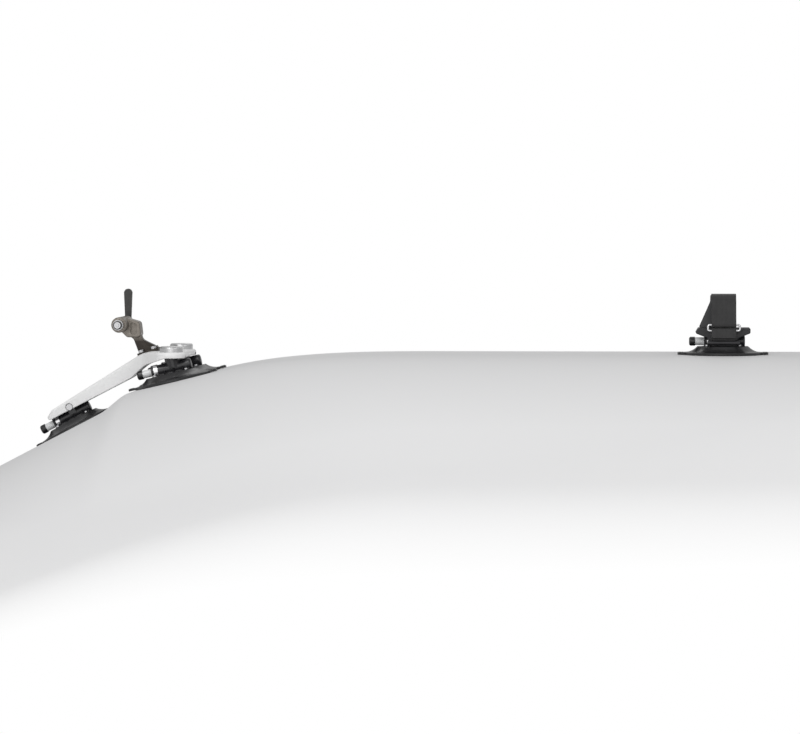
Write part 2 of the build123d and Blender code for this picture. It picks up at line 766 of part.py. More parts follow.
def nose_pin():
    pin_x, pin_z = nose_pin_place()
    pin = crosswise(PIN_RADIUS, -PIN_SEAT, PIN_SEAT, pin_x, pin_z)
    for side in (-1, 1):
        ends = sorted((side * PIN_SEAT, side * (PIN_SEAT + PIN_HEAD_HEIGHT)))
        head = crosswise(PIN_HEAD_RADIUS, ends[0], ends[1], pin_x, pin_z)
        pin += chamfer(head.edges().group_by(Axis.Y)[-1 if side > 0 else 0], PIN_HEAD_HEIGHT / 3)
    return pin


def each_wing(shape):
    ball_x, ball_z = ball_place()
    made = Part()
    for side in (-1, 1):
        made += Pos(ball_x, side * REAR_PAD_Y, ball_z) * shape
    return made


def ball_stud():
    # Drawn about the centre of its ball.
    top = WING_RISE + CAP_RECESS + STUD_GRIP
    return Sphere(BALL_RADIUS) + upright(NECK_RADIUS, 0, top)


def boss_cap():
    # A light dome on the wing, whose spigot fills the hole round the tower.
    dome = upright(CAP_RADIUS, WING_RISE, WING_RISE + CAP_HEIGHT)
    dome = fillet(dome.edges().group_by(Axis.Z)[-1], CAP_ROUND)
    dome += upright(CAP_SPIGOT_OUTER, WING_RISE - WEB, WING_RISE)
    dome -= upright(CAP_SPIGOT_INNER, WING_RISE - WEB - OVER, WING_RISE + CAP_RECESS)
    return dome - upright(NECK_RADIUS + STUD_FIT, 0, WING_RISE + CAP_RECESS + STUD_GRIP + STUD_FIT)


# Fork bracket and its quick-release skewer.


def axle_place():
    ball_x, ball_z = ball_place()
    return ball_x - AXLE_AHEAD, ball_z + AXLE_ABOVE


def bracket():
    x, z = axle_place()
    half = FORK_WIDTH / 2
    low = z - AXLE_ABOVE - WING_RISE
    head_front = (x - HEAD_RADIUS / 2, z - HEAD_RADIUS / 2)
    top = [(x, z + HEAD_RADIUS), (x + HEEL_REACH, z + HEEL_RISE)]
    shin = [
        (x + SHIN_REAR, z - SHIN_DROP),
        (x + TOE_REAR, z - TOE_DROP),
        (x + TOE_REAR, low),
        (x + TOE_FRONT, low),
        (x + SHIN_FRONT, z - SHIN_DROP),
        head_front,
    ]
    rounds = (0, HEEL_ROUND, SHIN_ROUND, 0, 0, 0, SHIN_ROUND, 0)
    web = eased(side_plate(rounded(top + shin, rounds), SHIN_HALF), Axis.Y, CAST_ROUND)
    block_points = top + [(x + SHIN_REAR, z - SHIN_TOP), (x + SHIN_FRONT / 2, z - SHIN_TOP), head_front]
    body = side_plate(rounded(block_points, (0, HEEL_ROUND, HEEL_ROUND, HEEL_ROUND, 0)), BODY_HALF)
    body = eased(body, Axis.Y, CAST_ROUND)
    wall = POCKET_WALL
    pocket_points = [
        (x + HEAD_RADIUS + wall / 2, z + HEEL_RISE),
        (x + HEEL_REACH - wall, z + HEEL_RISE - wall / 2),
        (x + HEEL_REACH - wall, z - SHIN_TOP + wall),
        (x + HEAD_RADIUS + wall / 2, z - SHIN_TOP + wall),
    ]
    pocket = rounded(pocket_points, (wall / 2, wall / 2, wall / 2, wall / 2))
    for side in (-1, 1):
        cut = extrude(Plane.XZ * pocket, POCKET_DEPTH + OVER, both=True)
        body -= Pos(0, side * (BODY_HALF + OVER), 0) * cut
    head = crosswise(HEAD_RADIUS, -half + STEP_LENGTH, half - STEP_LENGTH, x, z)
    head = chamfer(head.edges().group_by(Axis.Y)[0] + head.edges().group_by(Axis.Y)[-1], HEAD_CHAMFER)
    casting = web + body + head
    casting += crosswise(STEP_RADIUS, -half, half, x, z)
    casting += crosswise(STUB_RADIUS, -half - STUB_LENGTH, half + STUB_LENGTH, x, z)
    wide = (-FORK_WIDTH, FORK_WIDTH)
    casting -= seat_plane() * block(wide, wide, (-FORK_WIDTH, 0))
    foot = extrude(RectangleRounded(FOOT_LENGTH, 2 * FOOT_HALF, FOOT_CORNER), FOOT_THICKNESS)
    for spot_x in (-BOLT_ALONG, BOLT_ALONG):
        for spot_y in (-BOLT_ACROSS, BOLT_ACROSS):
            foot -= upright(BOLT_RADIUS + BOLT_FIT, -OVER, FOOT_THICKNESS + OVER, spot_x, spot_y)
    casting += seat_plane() * foot
    return casting - crosswise(ROD_BORE, -FORK_WIDTH, FORK_WIDTH, x, z)


def bracket_bolts():
    made = Part()
    for x in (-BOLT_ALONG, BOLT_ALONG):
        for y in (-BOLT_ACROSS, BOLT_ACROSS):
            head_top = FOOT_THICKNESS + BOLT_HEAD_HEIGHT
            bolt = upright(BOLT_RADIUS, BOLT_FIT - BOLT_BITE, FOOT_THICKNESS, x, y)
            bolt += upright(BOLT_HEAD_RADIUS, FOOT_THICKNESS, head_top, x, y)
            bolt -= upright(SOCKET_RADIUS, head_top - SOCKET_DEPTH, head_top + OVER, x, y)
            made += seat_plane() * bolt
    return made


def clamp_face():
    return FORK_WIDTH / 2 + DROPOUT


def cam_centre():
    return clamp_face() + CUP_LENGTH + CAM_CLEAR + CAM_RADIUS + CAM_THROW


def skewer():
    x, z = axle_place()
    start = -clamp_face() - NUT_LENGTH - ROD_PROUD
    rod = crosswise(ROD, start, cam_centre(), x, z)
    pin = lengthwise(CAM_PIN, x - CAM_HALF, x + CAM_HALF, cam_centre(), z)
    return rod + pin


def skewer_cup():
    x, z = axle_place()
    face = clamp_face()
    cup = crosswise(CUP_RADIUS, face, face + CUP_LENGTH, x, z)
    cup = chamfer(cup.edges().group_by(Axis.Y)[-1], CUP_LENGTH / 4)
    return cup - crosswise(ROD_BORE, face - OVER, face + CUP_LENGTH + OVER, x, z)


def skewer_nut():
    x, z = axle_place()
    face = -clamp_face()
    nut = crosswise(NUT_RADIUS, face - NUT_FLANGE, face, x, z)
    nut += crosswise(NUT_BODY, face - NUT_LENGTH, face - NUT_FLANGE, x, z)
    nut = chamfer(nut.edges().group_by(Axis.Y)[0], NUT_FLANGE / 3)
    return nut - crosswise(ROD + NUT_FIT, face - NUT_LENGTH - OVER, face + OVER, x, z)


def lever():
    # Two cam discs on the pin, joined by an arm that stands up when closed.
    x, z = axle_place()
    y = cam_centre()
    cam = Pos(0, -CAM_THROW, 0) * lengthwise(CAM_RADIUS, -CAM_HALF, CAM_HALF)
    blade = make_hull(
        (Pos(0, CAM_RADIUS) * Circle(CAM_HALF)).edges()
        + (Pos(0, LEVER_LENGTH - LEVER_TIP) * Circle(LEVER_TIP)).edges()
    )
    arm = Pos(0, LEVER_OUT, 0) * Plane.XZ * Pos(0, 0, -LEVER_THICKNESS / 2) * extrude(blade, LEVER_THICKNESS)
    neck = block((-CAM_HALF, CAM_HALF), (-CAM_RADIUS + CAM_THROW, CAM_RADIUS - CAM_THROW), (0, CAM_RADIUS))
    body = cam + neck + arm
    gap = CAM_PIN + CAM_PIN_FIT
    reach = CAM_RADIUS + CAM_THROW + OVER
    body -= block((-SLOT_HALF, SLOT_HALF), (-reach, reach), (-reach, gap))
    body -= lengthwise(gap, -CAM_HALF - OVER, CAM_HALF + OVER)
    return Pos(x, y, z) * body


# Wheel cradle, its straps and the guard for the rim.


def cradle():
    top = SEAT_HEIGHT + HUB_THICKNESS
    shoulder = CRADLE_TOP - CRADLE_LIP
    points = [
        (-CRADLE_FOOT, top),
        (CRADLE_FOOT, top),
        (CRADLE_FOOT, CRADLE_WAIST),
        (CRADLE_REAR, shoulder),
        (CRADLE_REAR, CRADLE_TOP),
        (-CRADLE_FRONT, CRADLE_TOP),
        (-CRADLE_FRONT - LIP_LEAN, shoulder),
        (-CRADLE_FOOT, CRADLE_WAIST),
    ]
    rounds = (0, 0, WAIST_ROUND, LIP_ROUND, LIP_ROUND, LIP_ROUND, LIP_ROUND, WAIST_ROUND)
    body = eased(side_plate(rounded(points, rounds), CRADLE_HALF), Axis.Y, CRADLE_ROUND)
    for side in (-1, 1):
        root = side * (CRADLE_HALF - OVER)
        reach = side * BAR_Y
        ear = block((STRAP_X - EAR_HALF, STRAP_X + EAR_HALF), sorted((root, reach)), (EAR_BOTTOM, EAR_TOP))
        slot = STRAP_WIDTH / 2 + OVER
        inner = side * (CRADLE_HALF + EAR_ROOT)
        outer = side * (BAR_Y + OVER)
        ear -= block((STRAP_X - slot, STRAP_X + slot), sorted((inner, outer)), (0, CRADLE_TOP))
        body += ear
        body += lengthwise(BAR_RADIUS, STRAP_X - EAR_HALF, STRAP_X + EAR_HALF, reach, BAR_Z)
    front = -CRADLE_FRONT - LIP_LEAN - OVER
    rear = CRADLE_REAR + OVER
    tunnel = GLAND_RADIUS + GLAND_GAP
    body -= lengthwise(tunnel, front, band_end(), z=PUMP_HEIGHT)
    body -= block((front, band_end()), (-tunnel, tunnel), (0, PUMP_HEIGHT))
    sleeve = BARREL_RADIUS + CRADLE_GAP
    body -= lengthwise(sleeve, front, rear, z=PUMP_HEIGHT)
    body -= block((front, rear), (-sleeve, sleeve), (0, PUMP_HEIGHT))
    body -= lengthwise(GROOVE_RADIUS, front, rear, z=GROOVE_HEIGHT + GROOVE_RADIUS)
    for x, y in cradle_bolt_places():
        body -= upright(CRADLE_BOLT_RADIUS + BOLT_FIT, 0, CRADLE_TOP, x, y)
        body -= upright(WELL_RADIUS, CRADLE_BOLT_SEAT, CRADLE_TOP + OVER, x, y)
    return body


def cradle_bolt_places():
    return [(x, y) for x in (-CRADLE_BOLT_X, CRADLE_BOLT_X) for y in (-CRADLE_BOLT_Y, CRADLE_BOLT_Y)]


def wheel_hub():
    body = hub()
    top = SEAT_HEIGHT + HUB_THICKNESS
    for x, y in cradle_bolt_places():
        body -= upright(CRADLE_BOLT_RADIUS + BOLT_FIT, top - CRADLE_BOLT_BITE, top + OVER, x, y)
    return body


def cradle_bolts():
    bottom = SEAT_HEIGHT + HUB_THICKNESS - CRADLE_BOLT_BITE + BOLT_FIT
    made = Part()
    for x, y in cradle_bolt_places():
        made += upright(CRADLE_BOLT_RADIUS, bottom, CRADLE_BOLT_SEAT, x, y)
        made += upright(CRADLE_BOLT_HEAD, CRADLE_BOLT_SEAT, CRADLE_BOLT_SEAT + CRADLE_BOLT_HEIGHT, x, y)
    return made


def tyre_liner():
    axis = GROOVE_HEIGHT + GROOVE_RADIUS
    start = -CRADLE_FRONT + RUBBER_END
    end = CRADLE_REAR - RUBBER_END
    body = lengthwise(GROOVE_RADIUS, start, end, z=axis)
    body -= lengthwise(GROOVE_RADIUS - RUBBER, start - OVER, end + OVER, z=axis)
    for rib in range(RIBS):
        middle = (start + end) / 2 + (rib - (RIBS - 1) / 2) * RIB_SPACING
        ring = lengthwise(GROOVE_RADIUS - RUBBER / 2, middle - RIB_WIDTH / 2, middle + RIB_WIDTH / 2, z=axis)
        inner = GROOVE_RADIUS - RUBBER - RIB_HEIGHT
        body += ring - lengthwise(inner, start, end, z=axis)
    wide = (-GROOVE_RADIUS - OVER, GROOVE_RADIUS + OVER)
    top = axis + GROOVE_RADIUS + OVER
    return body - block((start - OVER, end + OVER), wide, (CRADLE_TOP - RUBBER_DROP, top))


def ring_bars():
    return RING_Z - RING_HEIGHT_IN / 2, RING_Z + RING_HEIGHT_IN / 2


def strap_ring():
    plane = Plane(origin=(STRAP_X, -RING_Y, RING_Z), x_dir=(1, 0, 0), z_dir=(0, -1, 0))
    path = (plane * RectangleRounded(RING_LENGTH, RING_HEIGHT_IN, RING_CORNER)).wire()
    return sweep(Plane(origin=path @ 0, z_dir=path % 0) * Circle(RING_WIRE), path)


def strap_half():
    return STRAP_THICKNESS / 2


def short_strap():
    # One closed loop of webbing round the near ear's bar and the ring's lower bar.
    low = Pos(-BAR_Y, BAR_Z)
    high = Pos(-RING_Y, ring_bars()[0])
    bar = BAR_RADIUS + STRAP_PLAY
    wire = RING_WIRE + STRAP_PLAY
    thick = STRAP_THICKNESS
    outer = make_hull((low * Circle(bar + thick)).edges() + (high * Circle(wire + thick)).edges())
    inner = make_hull((low * Circle(bar)).edges() + (high * Circle(wire)).edges())
    return Pos(STRAP_X - STRAP_WIDTH / 2, 0, 0) * extrude(Plane.YZ * (outer - inner), STRAP_WIDTH)


def guard_corner():
    return WHEEL_HALF + GUARD_THICKNESS / 2, RIM_TOP + GUARD_THICKNESS / 2


def strap_corner():
    # The long strap runs a constant distance outside the guard.
    half, top = guard_corner()
    away = GUARD_THICKNESS / 2 + LAYER_GAP + strap_half()
    lean = math.atan((GUARD_SPREAD - half) / (top - GUARD_FOOT))
    return half - away * math.tan(lean) + away / math.cos(lean), top + away


def near_line(z, outwards):
    # The near side of the long strap, from the ring up to the rim.
    corner_y, corner_z = strap_corner()
    foot_y = RING_Y - RING_WIRE - STRAP_PLAY - strap_half()
    foot_z = ring_bars()[1]
    y = corner_y + (foot_y - corner_y) * (corner_z - z) / (corner_z - foot_z)
    return -y - outwards, z


def long_strap():
    corner_y, corner_z = strap_corner()
    turn = RING_WIRE + STRAP_PLAY + strap_half()
    layer = STRAP_THICKNESS + LAYER_GAP
    under = ring_bars()[1] - turn
    bar_turn = BAR_RADIUS + STRAP_PLAY + strap_half()
    points = [
        near_line(LOOSE_TOP, layer),
        near_line(LOOSE_BEND, layer),
        (-RING_Y - turn, ring_bars()[1] + TUCK_RISE),
        (-RING_Y - turn, under),
        (-RING_Y + turn, under),
        (-corner_y, corner_z),
        (corner_y, corner_z),
        (CRADLE_HALF + FAR_CLEAR + strap_half(), FAR_KNEE),
        (BAR_Y - bar_turn, BAR_Z - bar_turn),
        (BAR_Y + bar_turn, BAR_Z - bar_turn),
        (BAR_Y + bar_turn, SEWN_KNEE),
        (CRADLE_HALF + FAR_CLEAR + strap_half() + layer, SEWN_TOP),
    ]
    tight = turn - STRAP_PLAY / 2
    over = GUARD_ROUND + GUARD_THICKNESS / 2 + LAYER_GAP + strap_half()
    round_bar = bar_turn - STRAP_PLAY / 2
    rounds = [LOOSE_ROUND, TUCK_ROUND, tight, tight, over, over, FAR_ROUND, round_bar, round_bar, SEWN_ROUND]
    return band(points, rounds, STRAP_WIDTH, STRAP_THICKNESS, STRAP_X)


def rim_guard():
    half, top = guard_corner()
    points = [(-GUARD_SPREAD, GUARD_FOOT), (-half, top), (half, top), (GUARD_SPREAD, GUARD_FOOT)]
    width = GUARD_FRONT + GUARD_REAR
    sheet = band(points, [GUARD_ROUND, GUARD_ROUND], width, GUARD_THICKNESS, (GUARD_REAR - GUARD_FRONT) / 2)
    front = [
        (-GUARD_FRONT, GUARD_FOOT - OVER),
        (-GUARD_TOP_FRONT, GUARD_TOP),
        (-GUARD_TOP_FRONT, RIM_TOP + CRADLE_TOP),
        (-GUARD_FRONT - CRADLE_TOP, RIM_TOP + CRADLE_TOP),
        (-GUARD_FRONT - CRADLE_TOP, GUARD_FOOT - OVER),
    ]
    return sheet - side_plate(rounded(front, (0, 0, 0, 0, 0)), CRADLE_HALF * 2)


write_mount("wheel", placed(0, 0, 0, 0), wheel_hub())
write_mount("front", placed(FRONT_PAD_X, 0, FRONT_PAD_Z, FRONT_TILT), front_hub())
for name, side in (("left", -1), ("right", 1)):
    spot = placed(REAR_PAD_X, side * REAR_PAD_Y, REAR_PAD_Z, REAR_TILT)
    write_mount(name, spot, rear_hub())
    keep(name + "_liner", spot * liner())
    keep(name + "_ball_ring", spot * ball_ring())
keep("frame", frame())
keep("nose_pin", nose_pin())
keep("ball_studs", each_wing(ball_stud()))
keep("boss_caps", each_wing(boss_cap()))
keep("fork_bracket", bracket())
keep("bracket_bolts", bracket_bolts())
keep("skewer", skewer())
keep("skewer_cup", skewer_cup())
keep("skewer_nut", skewer_nut())
keep("lever", lever())
keep("cradle", cradle())
keep("cradle_bolts", cradle_bolts())
keep("tyre_liner", tyre_liner())
keep("strap_ring", strap_ring())
keep("short_strap", short_strap())
keep("long_strap", long_strap())
keep("rim_guard", rim_guard())
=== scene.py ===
import bmesh
import bpy
import math
from mathutils import Matrix, Vector


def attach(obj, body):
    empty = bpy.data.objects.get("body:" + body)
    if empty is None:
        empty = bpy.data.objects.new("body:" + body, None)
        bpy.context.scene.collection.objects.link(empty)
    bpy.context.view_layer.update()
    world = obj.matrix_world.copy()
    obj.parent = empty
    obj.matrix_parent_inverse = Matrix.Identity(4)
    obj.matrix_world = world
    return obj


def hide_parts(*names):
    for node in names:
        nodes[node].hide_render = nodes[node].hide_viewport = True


# Bicycle carrier for a car roof: two units that hold down by vacuum pads.
# Metres, +Z up, +X towards the rear of the car, the origin under the wheel unit's pad.

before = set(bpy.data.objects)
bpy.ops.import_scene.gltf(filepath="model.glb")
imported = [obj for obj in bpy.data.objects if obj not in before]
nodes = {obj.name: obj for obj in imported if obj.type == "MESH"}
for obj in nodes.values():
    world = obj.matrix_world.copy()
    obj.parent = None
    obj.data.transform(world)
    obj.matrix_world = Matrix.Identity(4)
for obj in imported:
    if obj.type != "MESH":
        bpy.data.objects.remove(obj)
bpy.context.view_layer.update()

MM = 0.001

# Each vacuum mount: the body that carries it, its place on the roof and the slope there.
MOUNTS = {
    "wheel": ("wheel_unit", (0.0, 0.0, 0.0), 0.0),
    "front": ("front_mount", (-1.005, 0.0, -0.115), 27.5),
    "left": ("left_mount", (-0.846, -0.07, -0.0405), 13.5),
    "right": ("right_mount", (-0.846, 0.07, -0.0405), 13.5),
}


# Small tools for meshes.

SMOOTH_ANGLE = 40.0
BEVEL_ANGLE = 50.0
BEND_STEPS = 7


def piece_from(name, bm, material, smooth=SMOOTH_ANGLE):
    """Makes a mesh in progress a piece of one finish, its faces turned outwards."""
    bmesh.ops.recalc_face_normals(bm, faces=bm.faces)
    mesh = bpy.data.meshes.new(name)
    bm.to_mesh(mesh)
    bm.free()
    mesh.materials.append(material)
    mesh.shade_smooth()
    mesh.set_sharp_from_angle(angle=math.radians(smooth))
    piece = bpy.data.objects.new(name, mesh)
    bpy.context.scene.collection.objects.link(piece)
    return piece


def bent_line(points, rounds):
    """Points along a line in the YZ plane whose inner corners are arcs."""
    line = [Vector(points[0])]
    for index, radius in enumerate(rounds, start=1):
        corner = Vector(points[index])
        back = (Vector(points[index - 1]) - corner).normalized()
        ahead = (Vector(points[index + 1]) - corner).normalized()
        half = back.angle(ahead) / 2
        centre = corner + (back + ahead).normalized() * radius / math.sin(half)
        first = corner + back * radius / math.tan(half) - centre
        turn = math.pi - 2 * half
        if first.x * ahead.y - first.y * ahead.x < 0:
            turn = -turn
        for step in range(BEND_STEPS + 1):
            angle = turn * step / BEND_STEPS
            cos, sin = math.cos(angle), math.sin(angle)
            spoke = Vector((first.x * cos - first.y * sin, first.x * sin + first.y * cos))
            line.append(centre + spoke)
    line.append(Vector(points[-1]))
    return line


def even_steps(line, step):
    """The same line with its long straight runs divided."""
    divided = [line[0]]
    for start, end in zip(line, line[1:]):
        count = max(1, round((end - start).length / step))
        divided += [start.lerp(end, share / count) for share in range(1, count + 1)]
    return divided


def grow(bm, edges):
    """One more row of faces from these edges. Gives the new row's vertices and edges."""
    grown = bmesh.ops.extrude_edge_only(bm, edges=edges)["geom"]
    row = [part for part in grown if isinstance(part, bmesh.types.BMVert)]
    return row, [part for part in grown if isinstance(part, bmesh.types.BMEdge)]


def strip(line, left, width, columns):
    """A flat strip that follows a line in the YZ plane, with its own map in metres."""
    bm = bmesh.new()
    along = bm.verts.layers.float.new("along")
    across = [left + width * column / columns for column in range(columns + 1)]
    row = [bm.verts.new((x, line[0].x, line[0].y)) for x in across]
    edges = [bm.edges.new(pair) for pair in zip(row, row[1:])]
    travelled = 0.0
    for start, end in zip(line, line[1:]):
        travelled += (end - start).length
        row, edges = grow(bm, edges)
        bmesh.ops.translate(bm, verts=row, vec=(0, end.x - start.x, end.y - start.y))
        for vertex in row:
            vertex[along] = travelled
    cloth_map = bm.loops.layers.uv.new("cloth")
    for face in bm.faces:
        for loop in face.loops:
            loop[cloth_map].uv = (loop.vert.co.x - left, loop.vert[along])
    return bm


def turn_profile(bm, stages, segments):
    """A turned shape about Z. Each stage is a height with a radius, or a radius for each angle."""
    made = []
    row = bmesh.ops.create_circle(bm, cap_ends=False, radius=1.0, segments=segments)["verts"]
    edges = list({edge for vertex in row for edge in vertex.link_edges})
    for index, (height, radius) in enumerate(stages):
        if index > 0:
            row, edges = grow(bm, edges)
        for vertex in row:
            angle = math.atan2(vertex.co.y, vertex.co.x)
            reach = radius(angle) if callable(radius) else radius
            vertex.co = (reach * math.cos(angle), reach * math.sin(angle), height)
        made += row
    return made


def thicken(piece, thickness, soft, segments=2):
    """Gives a sheet its thickness, half to either side, and soft edges."""
    wall = piece.modifiers.new("wall", "SOLIDIFY")
    wall.thickness = thickness
    wall.offset = 0
    edge = piece.modifiers.new("edge", "BEVEL")
    edge.width = soft
    edge.segments = segments
    edge.limit_method = "ANGLE"
    edge.angle_limit = math.radians(BEVEL_ANGLE)
    return piece


# Finishes, all mixed from nodes on object coordinates or the cloth map.

# Each grain: its cells in a metre, the levels of detail and how rough they are.
GRAINS = {
    "blotch": (38.0, 4.0, 0.55),
    "mould": (2200.0, 2.0, 0.6),
    "broad_mould": (240.0, 2.0, 0.6),
    "thread": (4000.0, 2.0, 0.6),
    "rub": (120.0, 5.0, 0.65),
    "drawn": (2600.0, 3.0, 0.6),
    "smudge": (60.0, 3.0, 0.55),
    "cloud": (55.0, 4.0, 0.55),
    "pebble": (1300.0, 2.0, 0.5),
    "handled": (240.0, 4.0, 0.55),
    "fuzz": (2600.0, 3.0, 0.7),
    "worn": (45.0, 4.0, 0.6),
}
BEVEL_SAMPLES = 6


class Finish:
    def __init__(self, name, metallic=0.0):
        self.material = bpy.data.materials.new(name)
        self.material.use_nodes = True
        self.tree = self.material.node_tree
        self.shader = self.tree.nodes["Principled BSDF"]
        self.shader.inputs["Metallic"].default_value = metallic
        self.place = self.add("ShaderNodeTexCoord").outputs["Object"]

    def add(self, kind, inputs=None, **settings):
        node = self.tree.nodes.new(kind)
        for key, value in settings.items():
            setattr(node, key, value)
        for key, value in (inputs or {}).items():
            self.feed(node.inputs[key], value)
        return node

    def feed(self, socket, value):
        if isinstance(value, bpy.types.NodeSocket):
            self.tree.links.new(value, socket)
        else:
            socket.default_value = value

    def calc(self, operation, *values):
        node = self.add("ShaderNodeMath", operation=operation)
        for socket, value in zip(node.inputs, values):
            self.feed(socket, value)
        return node.outputs[0]

    def sum_of(self, first, first_share, second, second_share):
        first_part = self.calc("MULTIPLY", first, first_share)
        return self.calc("ADD", first_part, self.calc("MULTIPLY", second, second_share))

    def ridges(self, count):
        """A round ridge for each whole step of the count."""
        return self.calc("SINE", self.calc("MULTIPLY", self.calc("FRACT", count), math.pi))

    def grain(self, name, stretch=None):
        scale, detail, rough = GRAINS[name]
        place = self.place
        if stretch is not None:
            place = self.add("ShaderNodeMapping", {"Vector": place, "Scale": stretch}).outputs[0]
        inputs = {"Vector": place, "Scale": scale, "Detail": detail, "Roughness": rough}
        return self.add("ShaderNodeTexNoise", inputs).outputs["Fac"]

    def spread(self, value, low, high, start=0.3, end=0.7):
        span = {"Value": value, "From Min": start, "From Max": end, "To Min": low, "To Max": high}
        return self.add("ShaderNodeMapRange", span).outputs[0]

    def tint(self, value, dark, light, start=0.3, end=0.7):
        ramp = self.add("ShaderNodeValToRGB", {"Fac": value})
        ramp.color_ramp.elements[0].position = start
        ramp.color_ramp.elements[1].position = end
        ramp.color_ramp.elements[0].color = (*dark, 1)
        ramp.color_ramp.elements[1].color = (*light, 1)
        return ramp.outputs["Color"]

    def blend(self, share, first, second):
        mix = self.add("ShaderNodeMix", data_type="RGBA")
        self.feed(mix.inputs["Factor"], share)
        for key, colour in (("A", first), ("B", second)):
            self.feed(mix.inputs[key], (*colour, 1) if isinstance(colour, tuple) else colour)
        return mix.outputs["Result"]

    def relief(self, height, depth, strength, normal=None):
        bump = self.add("ShaderNodeBump", {"Height": height, "Distance": depth})
        self.feed(bump.inputs["Strength"], strength)
        if normal is not None:
            self.feed(bump.inputs["Normal"], normal)
        return bump.outputs[0]

    def soft_edges(self, radius):
        return self.add("ShaderNodeBevel", {"Radius": radius}, samples=BEVEL_SAMPLES).outputs[0]

    def coat(self, colour, roughness, normal=None):
        self.feed(self.shader.inputs["Base Color"], colour)
        self.feed(self.shader.inputs["Roughness"], roughness)
        if normal is not None:
            self.feed(self.shader.inputs["Normal"], normal)
        return self.material


# Moulded pieces: dark and light colour, roughness, grain depth, for some their grain and edge.
MOULDED = {
    "pad rubber": ((0.012, 0.012, 0.013), (0.024, 0.024, 0.026), 0.31, 0.02 * MM),
    "hub plastic": ((0.012, 0.012, 0.014), (0.022, 0.022, 0.025), 0.28, 0.02 * MM),
    "cradle plastic": ((0.013, 0.013, 0.015), (0.028, 0.028, 0.031), 0.46, 0.06 * MM),
    "guard rubber": ((0.016, 0.016, 0.018), (0.032, 0.032, 0.034), 0.52, 0.05 * MM),
    "seal rubber": ((0.02, 0.02, 0.02), (0.04, 0.04, 0.04), 0.5, 0.02 * MM),
    "plunger plastic": ((0.72, 0.73, 0.74), (0.86, 0.87, 0.87), 0.25, 0.01 * MM),
    "liner plastic": ((0.76, 0.76, 0.72), (0.86, 0.86, 0.82), 0.35, 0.01 * MM),
    "button plastic": ((0.01, 0.01, 0.011), (0.018, 0.018, 0.019), 0.2, 0.01 * MM),
    "frame plastic": (
        (0.905, 0.907, 0.91), (0.935, 0.935, 0.932), 0.3, 0.008 * MM, "broad_mould", 2.5 * MM,
    ),
    "lever paint": ((0.022, 0.021, 0.02), (0.04, 0.037, 0.034), 0.32, 0.02 * MM),
    "sewing thread": ((0.05, 0.05, 0.052), (0.09, 0.09, 0.092), 0.6, 0.05 * MM, "thread"),
}
MOULD_EDGE = 0.5 * MM

# Bare metals: dark and light colour, roughness and how the drawn lines stretch.
METALS = {
    "cap metal": ((0.6, 0.605, 0.61), (0.7, 0.7, 0.705), 0.36, (0.15, 1.0, 1.0)),
    "screw steel": ((0.46, 0.46, 0.47), (0.6, 0.6, 0.61), 0.3, (1.0, 0.3, 1.0)),
    "spring steel": ((0.4, 0.4, 0.41), (0.62, 0.62, 0.63), 0.3, (1.0, 0.3, 1.0)),
    "ring steel": ((0.6, 0.6, 0.61), (0.8, 0.8, 0.81), 0.14, (0.2, 1.0, 1.0)),
    "band steel": ((0.6, 0.6, 0.605), (0.76, 0.76, 0.765), 0.2, (1.0, 0.25, 0.25)),
}
METAL_EDGE = 0.25 * MM
DRAWN_DEPTH = 0.008 * MM

# Painted light and shade on the fork bracket: dark up to the height of its foot, where shade falls,
# and lighter from that of its head, where light falls.
BRACKET_FOOT = 19.0 * MM
BRACKET_HEAD = 28.0 * MM
BRACKET_SHADED_FOOT_COLOURS = ((0.03, 0.026, 0.022), (0.055, 0.048, 0.041))
BRACKET_LIT_HEAD_COLOURS = ((0.19, 0.17, 0.148), (0.29, 0.264, 0.234))
PEBBLE_DEPTH = 0.05 * MM
CASTING_EDGE = 0.8 * MM

# Webbing: from rib to rib, from pick to pick, the depth of the weave and its colours.
WARP_PITCH = 1.9 * MM
PICK_PITCH = 2.2 * MM
WEAVE_DEPTH = 0.35 * MM
WEBBING_COLOURS = ((0.009, 0.009, 0.01), (0.048, 0.047, 0.047))


def moulded(name, dark, light, rough, depth, grain="mould", edge=MOULD_EDGE):
    """Moulded plastic or rubber: faint blotches, uneven gloss, an eroded grain, eased edges."""
    finish = Finish(name)
    fine = finish.grain(grain)
    colour = finish.tint(finish.sum_of(finish.grain("blotch"), 0.7, fine, 0.3), dark, light)
    roughness = finish.spread(finish.grain("rub"), rough - 0.06, rough + 0.08)
    return finish.coat(colour, roughness, finish.relief(fine, depth, 0.6, finish.soft_edges(edge)))


def bare_metal(name, dark, light, rough, stretch):
    """Bare metal with fine drawn lines along one direction and a faint smudge."""
    finish = Finish(name, metallic=1.0)
    lines = finish.grain("drawn", stretch)
    smudge = finish.grain("smudge")
    colour = finish.tint(finish.sum_of(lines, 0.5, smudge, 0.5), dark, light)
    roughness = finish.spread(smudge, rough - 0.03, rough + 0.06)
    normal = finish.relief(lines, DRAWN_DEPTH, 0.3, finish.soft_edges(METAL_EDGE))
    return finish.coat(colour, roughness, normal)


def bronze_casting():
    """Bronze anodised aluminium, pebbled as a casting is: painted light on its head, painted shade
    on its foot.
    """
    finish = Finish("bracket metal", metallic=0.85)
    cloud = finish.grain("cloud")
    height = finish.add("ShaderNodeSeparateXYZ", {"Vector": finish.place}).outputs["Z"]
    # Painted light on the upper part and painted shade on the lower part, blended by height.
    lit_head = finish.tint(cloud, *BRACKET_LIT_HEAD_COLOURS)
    shaded_foot = finish.tint(cloud, *BRACKET_SHADED_FOOT_COLOURS)
    colour = finish.blend(finish.spread(height, 0.0, 1.0, BRACKET_FOOT, BRACKET_HEAD), shaded_foot, lit_head)
    roughness = finish.spread(finish.grain("handled"), 0.3, 0.46)
    pebble = finish.grain("pebble")
    normal = finish.relief(pebble, PEBBLE_DEPTH, 0.5, finish.soft_edges(CASTING_EDGE))
    return finish.coat(colour, roughness, normal)


